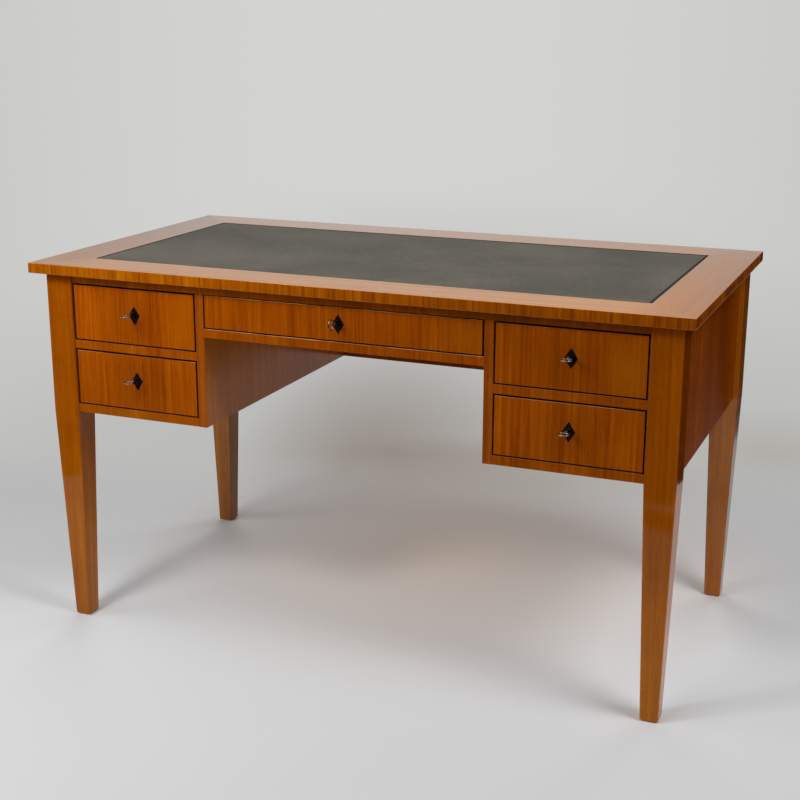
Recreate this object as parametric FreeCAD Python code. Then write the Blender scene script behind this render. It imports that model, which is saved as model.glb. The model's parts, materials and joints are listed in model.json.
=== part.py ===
import FreeCAD, Part
import math
import os

# A kneehole writing desk with five lockable drawers, in millimetres.
# X runs to the sitter's right, Y to the back of the desk and Z up from the floor.
# The origin is on the floor, under the middle of the top.

Vector = FreeCAD.Vector
LEFT, MIDDLE, RIGHT = -1, 0, 1

# Overall sizes
top_width = 1300.0
top_depth = 700.0
desk_height = 750.0

# Top: a mitred border round a panel that carries the leather
top_thickness = 20.0
top_arris = 1.2
border_width = 93.0
leather_thickness = 1.4
leather_sink = 0.5
leather_edge_gap = 0.9
top_tongue_length = 8.0
top_tongue_thickness = 6.0
side_overhang = 21.0
front_overhang = 27.0
back_overhang = 9.0

# Legs: square beside the case, tapered on all four sides below it
leg_size = 57.0
foot_size = 33.0
leg_arris = 1.2
foot_bevel = 3.0

# Case
case_height = 281.0
kneehole_width = 560.0
centre_opening_height = 66.0
board_thickness = 17.5
board_arris = 0.9
top_rail_height = 19.5
rail_depth = 60.0
side_panel_thickness = 18.0
back_panel_thickness = 20.0
leg_proud = 4.0
side_recess = 10.0
back_recess = 10.0

# Joints of the case
tongue_length = 8.0
tongue_thickness = 8.0
tongue_stop = 12.0
groove_room = 0.5
tenon_length = 7.0
tenon_width = 34.0
tenon_thickness = 8.0

# Runners, guides and stops that carry the drawers
runner_width = 20.0
guide_height = 18.0
guide_gap = 0.7
run_gap = 0.3
stop_length = 30.0
stop_depth = 18.0
stop_height = 5.0
stop_inset = 45.0
stop_gap = 0.3

# Glue blocks that hold the top to the back panel
glue_block_length = 70.0
glue_block_depth = 24.0
glue_block_spread = 180.0

# Drawers
front_thickness = 20.0
front_arris = 1.0
front_side_gap = 3.0
front_top_gap = 3.0
centre_top_gap = 1.4
front_bottom_gap = 2.2
drawer_side_thickness = 11.0
drawer_side_drop = 4.0
drawer_back_thickness = 11.0
drawer_back_drop = 6.0
drawer_back_room = 15.0
drawer_bottom_thickness = 5.0
drawer_bottom_lift = 8.0
drawer_groove_depth = 5.0

# Dovetails: half-blind at the fronts, through at the backs
dovetail_pitch = 26.0
dovetail_pin = 11.0
dovetail_slope = 1.0 / 6.0
dovetail_lap = 6.0

# Escutcheons: inlaid diamonds
escutcheon_width = 24.3
escutcheon_height = 37.0
escutcheon_thickness = 2.0
escutcheon_proud = 0.4
escutcheon_rise = 3.0

# Locks and keys
lock_width = 40.0
lock_depth = 10.0
lock_below_key = 14.0
lock_offset = 2.0
lock_wall = 1.2
lock_layer_gap = 0.6
bolt_width = 20.0
bolt_thickness = 3.0
bolt_foot = 6.0
bolt_sink = 0.4
bolt_throw = 9.0
bolt_gap = 0.5
strike_gap = 1.0
key_rise = 4.2
key_radius = 2.5
key_turn_gap = 0.35
key_bit_reach = 9.5
key_bit_width = 2.6
key_bit_length = 3.0
collar_radius = 4.0
collar_length = 2.5
collar_gap = 0.8
bow_centre_reach = 31.0
bow_length = 19.0
bow_straight = 3.5
bow_wire = 3.0
bow_facets = 9
wire_sides = 8

# Levels
z_top = desk_height
z_case_top = z_top - top_thickness
z_case_bottom = z_case_top - case_height
z_top_rail = z_case_top - top_rail_height
z_centre_rail = z_top_rail - centre_opening_height - board_thickness
z_floor_top = z_case_bottom + board_thickness
opening_height = (z_top_rail - z_floor_top - board_thickness) / 2
z_middle_rail = z_floor_top + opening_height
z_leather = z_top - leather_sink

# Planes from front to back
y_top_front = -top_depth / 2
y_top_back = top_depth / 2
y_leg_front = y_top_front + front_overhang
y_face = y_leg_front + leg_proud
y_front_leg_back = y_leg_front + leg_size
y_rail_back = y_face + rail_depth
y_leg_back = y_top_back - back_overhang
y_rear_leg_front = y_leg_back - leg_size
y_panel_out = y_leg_back - back_recess
y_panel_in = y_panel_out - back_panel_thickness
y_front_inside = y_face + front_thickness
y_drawer_back = y_panel_in - drawer_back_room

# Planes from the middle to the sides
x_top = top_width / 2
x_leg_out = x_top - side_overhang
x_leg_in = x_leg_out - leg_size
x_side_out = x_leg_out - side_recess
x_side_in = x_side_out - side_panel_thickness
x_knee = kneehole_width / 2
x_stile = x_knee + board_thickness


def box(x0, x1, y0, y1, z0, z1):
    return Part.makeBox(x1 - x0, y1 - y0, z1 - z0, Vector(x0, y0, z0))


def side_box(side, x0, x1, y0, y1, z0, z1):
    """A box between two distances from the middle, on the left or the right."""
    low, high = sorted((side * x0, side * x1))
    return box(low, high, y0, y1, z0, z1)


def flat_face(points):
    return Part.Face(Part.makePolygon(points + points[:1]))


def prism(points, direction):
    """A flat outline pushed along a direction."""
    return flat_face([Vector(*point) for point in points]).extrude(Vector(*direction))


def skinned(loops, ring=False):
    """A solid of flat faces through loops of points, capped at its ends or closed as a ring."""
    following = loops[1:] + loops[:1] if ring else loops[1:]
    faces = [] if ring else [flat_face(loops[0]), flat_face(loops[-1])]
    for loop, after in zip(loops, following):
        for i in range(len(loop)):
            faces.append(flat_face([loop[i - 1], loop[i], after[i], after[i - 1]]))
    shell = Part.makeShell(faces)
    shell.sewShape()
    solid = Part.makeSolid(shell)
    if solid.Volume < 0:
        solid.reverse()
    return solid


def joined(*shapes):
    return shapes[0].multiFuse(list(shapes[1:])).removeSplitter()


def eased(shape, radius, plane, along):
    """Rounds the edges that lie in the plane, such as ("y", -300), and run along an axis."""
    axis, place = plane[0].upper(), plane[1]
    lengths = ("X", "Y", "Z")
    picked = []
    for edge in shape.Edges:
        reach = edge.BoundBox
        low, high = getattr(reach, axis + "Min"), getattr(reach, axis + "Max")
        runs = [getattr(reach, name + "Length") > 2 * radius for name in lengths]
        in_plane = abs(low - place) < 1e-4 and abs(high - place) < 1e-4
        if in_plane and any(runs[lengths.index(name.upper())] for name in along):
            picked.append(edge)
    return shape.makeFillet(radius, picked)


def write(node, solids):
    """Writes one node, as one solid or a group of separate ones."""
    parts = [solid for shape in solids for solid in shape.Solids]
    shape = parts[0] if len(parts) == 1 else Part.makeCompound(parts)
    shape.exportStep("parts/" + node + ".step")


def leg_section(size, z):
    """A square with its corners cut, lying at a height."""
    half = size / 2
    flat = half - leg_arris
    corners = [(flat, half), (-flat, half), (-half, flat), (-half, -flat),
               (-flat, -half), (flat, -half), (half, -flat), (half, flat)]
    return [Vector(x, y, z) for x, y in corners]


def leg_blank(side, y_centre):
    sections = [leg_section(foot_size - 2 * foot_bevel, 0),
                leg_section(foot_size, foot_bevel),
                leg_section(leg_size, z_case_bottom),
                leg_section(leg_size, z_case_top)]
    leg = skinned(sections)
    leg.translate(Vector(side * (x_leg_in + leg_size / 2), y_centre, 0))
    return leg


def tenon(side, x_shoulder, outward, z_board, room=0.0):
    """A stub tenon on the end of a rail, or its mortise where room is given."""
    y_middle = y_face + rail_depth / 2
    z_middle = z_board + board_thickness / 2
    x_end = x_shoulder + outward * (tenon_length + room)
    x0, x1 = sorted((x_shoulder, x_end))
    return side_box(side, x0, x1, y_middle - tenon_width / 2, y_middle + tenon_width / 2,
                    z_middle - tenon_thickness / 2, z_middle + tenon_thickness / 2)


def panel_tongue(x_middle, y_middle, along_x, along_y):
    """An upright tongue on the edge of a panel, centred on a place in plan."""
    return box(x_middle - along_x / 2, x_middle + along_x / 2,
               y_middle - along_y / 2, y_middle + along_y / 2,
               z_case_bottom + tongue_stop, z_case_top - tongue_stop)


def side_panel_tongues(side, room=0.0):
    x = side * (x_side_in + side_panel_thickness / 2)
    reach = tongue_length + room
    return [panel_tongue(x, y_front_leg_back - reach / 2, tongue_thickness, reach),
            panel_tongue(x, y_rear_leg_front + reach / 2, tongue_thickness, reach)]


def back_panel_tongue(side, room=0.0):
    reach = tongue_length + room
    y = y_panel_in + back_panel_thickness / 2
    return panel_tongue(side * (x_leg_in + reach / 2), y, reach, tongue_thickness)


def floor_tongues(side, room=0.0):
    """The tongues of a pedestal's bottom board in the inner panel and the side panel."""
    z0 = z_case_bottom + (board_thickness - tongue_thickness) / 2
    z1 = z0 + tongue_thickness
    reach = tenon_length + room
    inner = side_box(side, x_stile - reach, x_stile,
                     y_rail_back, y_panel_in - tongue_stop, z0, z1)
    outer = side_box(side, x_side_in, x_side_in + reach,
                     y_rail_back, y_rear_leg_front - tongue_stop, z0, z1)
    return [inner, outer]


# The five drawers: the side they are on, and the foot and head of each opening
drawer_places = {
    "left_upper": (LEFT, z_middle_rail + board_thickness, z_top_rail),
    "left_lower": (LEFT, z_floor_top, z_middle_rail),
    "centre": (MIDDLE, z_centre_rail + board_thickness, z_top_rail),
    "right_upper": (RIGHT, z_middle_rail + board_thickness, z_top_rail),
    "right_lower": (RIGHT, z_floor_top, z_middle_rail),
}
# The opening's edges and the walls behind it that hold the drawer's guides
opening_edges = {
    LEFT: (-x_leg_in, -x_stile),
    MIDDLE: (-x_knee, x_knee),
    RIGHT: (x_stile, x_leg_in),
}
guide_walls = {
    LEFT: (-x_side_in, -x_stile),
    MIDDLE: (-x_knee, x_knee),
    RIGHT: (x_stile, x_side_in),
}


class Drawer:
    """The sizes and places that one drawer's pieces share."""

    def __init__(self, name):
        self.name = name
        self.side, self.z_run, self.z_head = drawer_places[name]
        x0, x1 = opening_edges[self.side]
        self.x0 = x0 + front_side_gap
        self.x1 = x1 - front_side_gap
        centred = self.side == MIDDLE
        self.x_lock = (x0 + x1) / 2 + (0 if centred else lock_offset)
        self.z0 = self.z_run + front_bottom_gap
        self.z1 = self.z_head - (centre_top_gap if centred else front_top_gap)
        self.z_side0 = self.z_run + run_gap
        self.z_side1 = self.z1 - drawer_side_drop
        self.z_bottom = self.z_side0 + drawer_bottom_lift
        self.bow_upright = centred
        self.z_escutcheon = (self.z0 + self.z1) / 2 + (0 if centred else escutcheon_rise)
        self.z_key = self.z_escutcheon + key_rise


drawers = [Drawer(name) for name in drawer_places]

# Layers inside a lock, from the drawer's face towards its inside
y_lock = y_front_inside - lock_depth
y_bolt = y_lock + lock_wall + lock_layer_gap
y_bit = y_bolt + bolt_thickness + lock_layer_gap
y_lock_inside = y_front_inside - lock_wall


def bolt_blank(drawer, gap, z0, z1):
    half = bolt_width / 2 + gap
    return box(drawer.x_lock - half, drawer.x_lock + half,
               y_bolt - gap, y_bolt + bolt_thickness + gap, z0, z1)


def strike(drawer):
    """The mortise over a drawer that takes its bolt."""
    return bolt_blank(drawer, strike_gap, drawer.z_head, drawer.z_head + bolt_throw)


def keyhole(drawer, y0, y1):
    """A round hole for the key's stem over a slot for its bit."""
    radius = key_radius + key_turn_gap
    stem = Part.makeCylinder(radius, y1 - y0, Vector(drawer.x_lock, y0, drawer.z_key), Vector(0, 1, 0))
    half = key_bit_width / 2 + key_turn_gap
    z_end = drawer.z_key - key_bit_reach - key_turn_gap
    slot = box(drawer.x_lock - half, drawer.x_lock + half, y0, y1, z_end, drawer.z_key)
    return joined(stem, slot)


def kicker_spans():
    """The strips over and under the drawers in plan: side, two distances, and the back end."""
    spans = []
    for side in (LEFT, RIGHT):
        spans.append((side, x_knee - runner_width, x_knee, y_panel_in))
        spans.append((side, x_stile, x_stile + runner_width, y_panel_in))
        spans.append((side, x_leg_in - runner_width, x_side_in, y_rear_leg_front))
    return spans


def build_legs():
    rail_levels = (z_middle_rail, z_case_bottom)
    for side, name in ((LEFT, "left"), (RIGHT, "right")):
        front = leg_blank(side, y_leg_front + leg_size / 2)
        rear = leg_blank(side, y_leg_back - leg_size / 2)
        front_groove, rear_groove = side_panel_tongues(side, groove_room)
        mortises = [tenon(side, x_leg_in, 1, z, groove_room) for z in rail_levels]
        mortises.append(tenon(side, x_leg_in, 1, z_top_rail, groove_room))
        write("front_" + name + "_leg", [front.cut([front_groove] + mortises)])
        write("rear_" + name + "_leg", [rear.cut([rear_groove, back_panel_tongue(side, groove_room)])])


def build_panels():
    for side, name in ((LEFT, "left"), (RIGHT, "right")):
        panel = side_box(side, x_side_in, x_side_out, y_front_leg_back, y_rear_leg_front,
                         z_case_bottom, z_case_top)
        panel = joined(panel, *side_panel_tongues(side))
        write(name + "_side_panel", [panel.cut(floor_tongues(side, groove_room)[1])])

        inner = side_box(side, x_knee, x_stile, y_face, y_panel_in, z_case_bottom, z_case_top)
        inner = eased(inner, board_arris, ("y", y_face), "z")
        notch = side_box(side, x_knee, x_stile, y_face, y_rail_back, z_top_rail, z_case_top)
        mortises = [notch, floor_tongues(side, groove_room)[0],
                    tenon(side, x_stile, -1, z_middle_rail, groove_room),
                    tenon(side, x_knee, 1, z_centre_rail, groove_room)]
        write(name + "_inner_panel", [inner.cut(mortises)])

    back = box(-x_leg_in, x_leg_in, y_panel_in, y_panel_out, z_case_bottom, z_case_top)
    write("back_panel", [joined(back, back_panel_tongue(LEFT), back_panel_tongue(RIGHT))])


def rail(x0, x1, z0, z1):
    blank = box(x0, x1, y_face, y_rail_back, z0, z1)
    return eased(blank, board_arris, ("y", y_face), "x")


def build_rails():
    top = rail(-x_leg_in, x_leg_in, z_top_rail, z_case_top)
    top = joined(top, *[tenon(side, x_leg_in, 1, z_top_rail) for side in (LEFT, RIGHT)])
    upper = [strike(drawer) for drawer in drawers if drawer.z_head == z_top_rail]
    write("top_rail", [top.cut(upper)])

    rails = []
    for side in (LEFT, RIGHT):
        x0, x1 = sorted((side * x_stile, side * x_leg_in))
        blank = rail(x0, x1, z_middle_rail, z_middle_rail + board_thickness)
        ends = [tenon(side, x_stile, -1, z_middle_rail), tenon(side, x_leg_in, 1, z_middle_rail)]
        lower = [strike(drawer) for drawer in drawers if drawer.z_head == z_middle_rail]
        rails.append(joined(blank, *ends).cut(lower))
    centre = rail(-x_knee, x_knee, z_centre_rail, z_centre_rail + board_thickness)
    rails.append(joined(centre, *[tenon(side, x_knee, 1, z_centre_rail) for side in (LEFT, RIGHT)]))
    write("drawer_rails", rails)


def build_bottom_boards():
    boards = []
    for side in (LEFT, RIGHT):
        reach = (z_case_bottom, z_floor_top)
        front = side_box(side, x_stile, x_leg_in, y_face, y_front_leg_back, *reach)
        front = eased(front, board_arris, ("y", y_face), "x")
        middle = side_box(side, x_stile, x_side_in, y_front_leg_back, y_rear_leg_front, *reach)
        rear = side_box(side, x_stile, x_leg_in, y_rear_leg_front, y_panel_in, *reach)
        stub = tenon(side, x_leg_in, 1, z_case_bottom)
        boards.append(joined(front, middle, rear, stub, *floor_tongues(side)))
    write("bottom_boards", boards)


def build_runners():
    strips = []
    for side, x0, x1, y_end in kicker_spans():
        strips.append(side_box(side, x0, x1, y_rail_back, y_end, z_top_rail, z_case_top))
        z = z_centre_rail if x1 == x_knee else z_middle_rail
        strips.append(side_box(side, x0, x1, y_rail_back, y_end, z, z + board_thickness))
    write("drawer_runners", strips)

    guides = []
    stops = []
    for drawer in drawers:
        z0, z1 = drawer.z_run, drawer.z_run + guide_height
        left_wall, right_wall = guide_walls[drawer.side]
        left_strip = (left_wall, drawer.x0 - guide_gap)
        right_strip = (drawer.x1 + guide_gap, right_wall)
        for wall, (x0, x1) in ((left_wall, left_strip), (right_wall, right_strip)):
            between_legs = abs(wall) == x_side_in
            y0 = y_front_leg_back if between_legs else y_rail_back
            y1 = y_rear_leg_front if between_legs else y_panel_in
            guides.append(box(x0, x1, y0, y1, z0, z1))
        y_stop = y_front_inside + stop_gap
        for x in (drawer.x0 + stop_inset, drawer.x1 - stop_inset):
            stops.append(box(x - stop_length / 2, x + stop_length / 2,
                             y_stop, y_stop + stop_depth, z0, z0 + stop_height))
    write("drawer_guides", guides)
    write("drawer_stops", stops)


def build_top():
    x_in = x_top - border_width
    y_in = top_depth / 2 - border_width
    z_panel = z_leather - leather_thickness
    z_tongue = z_case_top + (top_thickness - top_tongue_thickness) / 2

    def tongue(room=0.0):
        reach = top_tongue_length + room
        return box(-x_in - reach, x_in + reach, -y_in - reach, y_in + reach,
                   z_tongue, z_tongue + top_tongue_thickness)

    groove = tongue(groove_room)
    thickness = (0, 0, top_thickness)
    long_borders = []
    end_borders = []
    for side in (LEFT, RIGHT):
        y_out, x_out = side * top_depth / 2, side * x_top
        outline = [(-x_top, y_out, z_case_top), (x_top, y_out, z_case_top),
                   (x_in, side * y_in, z_case_top), (-x_in, side * y_in, z_case_top)]
        member = eased(prism(outline, thickness), top_arris, ("y", y_out), "x")
        long_borders.append(member.cut(groove))
        outline = [(x_out, y_top_front, z_case_top), (x_out, y_top_back, z_case_top),
                   (side * x_in, y_in, z_case_top), (side * x_in, -y_in, z_case_top)]
        member = eased(prism(outline, thickness), top_arris, ("x", x_out), "y")
        end_borders.append(member.cut(groove))
    write("top_long_borders", long_borders)
    write("top_end_borders", end_borders)

    panel = joined(box(-x_in, x_in, -y_in, y_in, z_case_top, z_panel), tongue())
    write("top_panel", [panel])
    x_leather, y_leather = x_in - leather_edge_gap, y_in - leather_edge_gap
    write("leather_inlay", [box(-x_leather, x_leather, -y_leather, y_leather, z_panel, z_leather)])


def build_glue_blocks():
    """Three-cornered blocks rubbed into the corner between the top and the back panel."""
    x_pedestal = (x_stile + x_leg_in) / 2
    blocks = []
    for x in (-x_pedestal, -glue_block_spread, 0, glue_block_spread, x_pedestal):
        x0 = x - glue_block_length / 2
        outline = [(x0, y_panel_in, z_case_top), (x0, y_panel_in - glue_block_depth, z_case_top),
                   (x0, y_panel_in, z_top_rail)]
        blocks.append(prism(outline, (glue_block_length, 0, 0)))
    write("glue_blocks", blocks)


def dovetails(x0, x1, y_neck, y_end, z0, z1):
    """Tails that widen from their necks to their ends, spread evenly over a height."""
    count = max(2, math.floor((z1 - z0) / dovetail_pitch))
    pitch = (z1 - z0) / count
    neck = (pitch - dovetail_pin) / 2
    flare = neck + abs(y_end - y_neck) * dovetail_slope
    tails = []
    for i in range(count):
        z = z0 + (i + 0.5) * pitch
        outline = [(x0, y_neck, z - neck), (x0, y_neck, z + neck),
                   (x0, y_end, z + flare), (x0, y_end, z - flare)]
        tails.append(prism(outline, (x1 - x0, 0, 0)))
    return tails


def diamond(drawer, y0, y1):
    wide, tall = escutcheon_width / 2, escutcheon_height / 2
    x, z = drawer.x_lock, drawer.z_escutcheon
    outline = [(x - wide, y0, z), (x, y0, z + tall), (x + wide, y0, z), (x, y0, z - tall)]
    return prism(outline, (0, y1 - y0, 0))


def lock_box(drawer, y0, y1, wall=0.0):
    half = lock_width / 2 - wall
    return box(drawer.x_lock - half, drawer.x_lock + half, y0, y1,
               drawer.z_key - lock_below_key + wall, drawer.z1 - wall)


def build_drawer_box(drawer):
    x0, x1 = drawer.x0, drawer.x1
    z_bottom_top = drawer.z_bottom + drawer_bottom_thickness
    sides_x = ((x0, x0 + drawer_side_thickness), (x1 - drawer_side_thickness, x1))

    reach = drawer_groove_depth
    x_floor0, x_floor1 = sides_x[0][1] - reach, sides_x[1][0] + reach
    y_floor0 = y_front_inside - reach
    floor = box(x_floor0, x_floor1, y_floor0, y_drawer_back, drawer.z_bottom, z_bottom_top)
    slot = box(x_floor0 - groove_room, x_floor1 + groove_room, y_floor0 - groove_room,
               y_drawer_back, drawer.z_bottom, z_bottom_top)

    y_back_in = y_drawer_back - drawer_back_thickness
    back = box(x0, x1, y_back_in, y_drawer_back, z_bottom_top, drawer.z_side1 - drawer_back_drop)
    for x_out, x_in in sides_x:
        back = back.cut(dovetails(x_out, x_in, y_back_in, y_drawer_back,
                                  z_bottom_top, drawer.z_side1 - drawer_back_drop))

    y_tail_end = y_face + dovetail_lap
    sockets = []
    sides = []
    for x_out, x_in in sides_x:
        tails = dovetails(x_out, x_in, y_front_inside, y_tail_end, drawer.z0, drawer.z_side1)
        sockets.extend(tails)
        board = box(x_out, x_in, y_front_inside, y_drawer_back, drawer.z_side0, drawer.z_side1)
        sides.append(joined(board, *tails).cut([back, slot]))

    front = box(x0, x1, y_face, y_front_inside, drawer.z0, drawer.z1)
    front = eased(front, front_arris, ("y", y_face), "xz")
    hollows = [slot, lock_box(drawer, y_lock, y_front_inside), keyhole(drawer, y_face, y_lock),
               diamond(drawer, y_face, y_face + escutcheon_thickness)]
    write(drawer.name + "_drawer_front", [front.cut(sockets + hollows)])
    write(drawer.name + "_drawer_sides", sides)
    write(drawer.name + "_drawer_back", [back])
    write(drawer.name + "_drawer_bottom", [floor])


def bow(drawer, y_centre):
    """A racetrack ring of eight-sided wire, lying flat or standing upright."""
    radius = (bow_length - bow_wire) / 2
    step = math.pi / bow_facets
    mitre = 1 / math.cos(step / 2)
    loops = []
    for end in (RIGHT, LEFT):
        for i in range(bow_facets):
            angle = (i + 0.5) * step - math.pi / 2
            out = Vector(end * math.cos(angle), end * math.sin(angle), 0)
            middle = Vector(end * bow_straight / 2, 0, 0)
            loop = []
            for k in range(wire_sides):
                turn = 2 * math.pi * (k + 0.5) / wire_sides
                across = radius + bow_wire / 2 * math.cos(turn)
                loop.append(middle + out * (across * mitre) + Vector(0, 0, bow_wire / 2 * math.sin(turn)))
            loops.append(loop)
    ring = skinned(loops, ring=True)
    if drawer.bow_upright:
        ring.rotate(Vector(0, 0, 0), Vector(0, 1, 0), 90)
    ring.translate(Vector(drawer.x_lock, y_centre, drawer.z_key))
    return ring


def key(drawer):
    """The bow, the stem with its collar, and the bit in the plane of the bow."""
    y_bow = y_face - bow_centre_reach
    y_stem = y_bow + (bow_length - bow_wire) / 2
    y_tip = y_bit + key_bit_length
    y_collar = y_face - escutcheon_proud - collar_gap - collar_length
    away = Vector(0, 1, 0)

    def turned(radius, y0, y1):
        return Part.makeCylinder(radius, y1 - y0, Vector(drawer.x_lock, y0, drawer.z_key), away)

    stem = turned(key_radius, y_stem, y_tip)
    collar = turned(collar_radius, y_collar, y_collar + collar_length)
    half = key_bit_width / 2
    bit = box(drawer.x_lock - half, drawer.x_lock + half, y_bit, y_tip,
              drawer.z_key - key_bit_reach, drawer.z_key)
    if not drawer.bow_upright:
        bit.rotate(Vector(drawer.x_lock, y_bit, drawer.z_key), away, 90)
    return joined(stem, collar, bit, bow(drawer, y_bow))


def build_lock(drawer):
    plate = diamond(drawer, y_face - escutcheon_proud, y_face + escutcheon_thickness)
    hole = keyhole(drawer, y_face - escutcheon_proud, y_lock + lock_wall)
    write(drawer.name + "_escutcheon", [plate.cut(hole)])

    case = lock_box(drawer, y_lock, y_front_inside)
    inside = lock_box(drawer, y_lock + lock_wall, y_lock_inside, lock_wall)
    passage = bolt_blank(drawer, bolt_gap, drawer.z_key, drawer.z1)
    write(drawer.name + "_lock_case", [case.cut([inside, passage, hole])])

    slot_half = key_radius + key_turn_gap
    bolt = bolt_blank(drawer, 0, drawer.z_key - bolt_foot, drawer.z1 - bolt_sink)
    fork = box(drawer.x_lock - slot_half, drawer.x_lock + slot_half, y_bolt, y_bolt + bolt_thickness,
               drawer.z_key - bolt_foot, drawer.z_key + slot_half)
    write(drawer.name + "_lock_bolt", [bolt.cut(fork)])
    write(drawer.name + "_key", [key(drawer)])


os.makedirs("parts", exist_ok=True)
build_legs()
build_panels()
build_rails()
build_bottom_boards()
build_runners()
build_top()
build_glue_blocks()
for drawer in drawers:
    build_drawer_box(drawer)
    build_lock(drawer)
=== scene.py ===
import json
import math

import bmesh
import bpy
from mathutils import Matrix, Vector


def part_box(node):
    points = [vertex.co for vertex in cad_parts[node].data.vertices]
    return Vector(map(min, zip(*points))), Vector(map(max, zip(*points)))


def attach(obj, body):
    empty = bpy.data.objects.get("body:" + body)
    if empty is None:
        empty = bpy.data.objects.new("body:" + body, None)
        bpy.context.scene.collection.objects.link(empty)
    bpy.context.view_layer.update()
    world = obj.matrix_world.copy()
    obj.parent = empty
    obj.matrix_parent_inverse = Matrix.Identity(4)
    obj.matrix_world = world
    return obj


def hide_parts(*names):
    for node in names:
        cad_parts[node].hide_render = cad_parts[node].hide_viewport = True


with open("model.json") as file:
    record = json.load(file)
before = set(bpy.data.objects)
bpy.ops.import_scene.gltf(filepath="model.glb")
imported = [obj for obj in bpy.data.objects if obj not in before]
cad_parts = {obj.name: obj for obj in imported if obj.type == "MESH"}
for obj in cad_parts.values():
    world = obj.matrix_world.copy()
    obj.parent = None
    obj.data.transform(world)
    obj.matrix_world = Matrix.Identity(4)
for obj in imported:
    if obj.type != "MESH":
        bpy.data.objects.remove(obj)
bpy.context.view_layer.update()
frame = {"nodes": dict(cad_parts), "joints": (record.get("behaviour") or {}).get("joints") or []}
nodes = frame["nodes"]
joints = {joint["name"]: joint for joint in frame["joints"]}

# A kneehole writing desk in glossy cherry veneer, with a leather writing surface.
# Lengths are in metres, and small ones are written in millimetres times MM.
MM = 0.001
DRAWERS = ("left_upper", "left_lower", "centre", "right_upper", "right_lower")

# The camera stands in front of the desk's right end and looks down at it
CAMERA_PLACE = (1.0585, -2.5840, 1.2374)
CAMERA_YAW = 0.3921
CAMERA_PITCH = -0.2739
CAMERA_ROLL = 0.0022
CAMERA_LENS = 63.53
SENSOR_WIDTH = 36.0
# The way it looks and the way across that, on the floor
CAMERA_SIGHT = (-math.sin(CAMERA_YAW), math.cos(CAMERA_YAW))
CAMERA_ACROSS = (math.cos(CAMERA_YAW), math.sin(CAMERA_YAW))

# Most of a noise pattern lies between these values
NOISE_SPAN = (0.3, 0.7)
# A surface comes to count as facing along an axis between these shares
FACING_SPAN = (0.5, 0.6)
# Near an arris the rounded surface turns away from the flat one, by these cosines
ARRIS_TURN = (0.995, 0.85)
# The upper rounds face more up than upright faces do, and less than level ones
ABOVE_UPRIGHT = (0.15, 0.4)
BELOW_LEVEL = (0.99, 0.93)


class Nodes:
    """The nodes of a material or of the studio's air."""

    def __init__(self, tree):
        self.tree = tree

    def feed(self, socket, value):
        if isinstance(value, bpy.types.NodeSocket):
            self.tree.links.new(value, socket)
        else:
            socket.default_value = value

    def add(self, kind, inputs, **settings):
        made = self.tree.nodes.new("ShaderNode" + kind)
        for name, value in settings.items():
            setattr(made, name, value)
        for socket, value in inputs.items():
            self.feed(made.inputs[socket], value)
        return made

    def maths(self, operation, first, second):
        return self.add("Math", {0: first, 1: second}, operation=operation).outputs[0]

    def product(self, first, second):
        return self.maths("MULTIPLY", first, second)

    def larger(self, first, second):
        return self.maths("MAXIMUM", first, second)

    def weighted(self, *shares):
        """The sum of values, each times its weight."""
        total = 0.0
        for value, weight in shares:
            total = self.add("Math", {0: value, 1: weight, 2: total}, operation="MULTIPLY_ADD").outputs[0]
        return total

    def span(self, value, low, high, start=0.0, end=1.0):
        """Stretches a range of values to another one and stops at its ends."""
        inputs = {"Value": value, "From Min": low, "From Max": high, "To Min": start, "To Max": end}
        return self.add("MapRange", inputs).outputs[0]

    def times(self, vector, scale):
        return self.add("VectorMath", {0: vector, 1: scale}, operation="MULTIPLY").outputs[0]

    def length(self, vector):
        return self.add("VectorMath", {0: vector}, operation="LENGTH").outputs["Value"]

    def likeness(self, first, second):
        """How far one direction points along another."""
        return self.add("VectorMath", {0: first, 1: second}, operation="DOT_PRODUCT").outputs["Value"]


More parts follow.
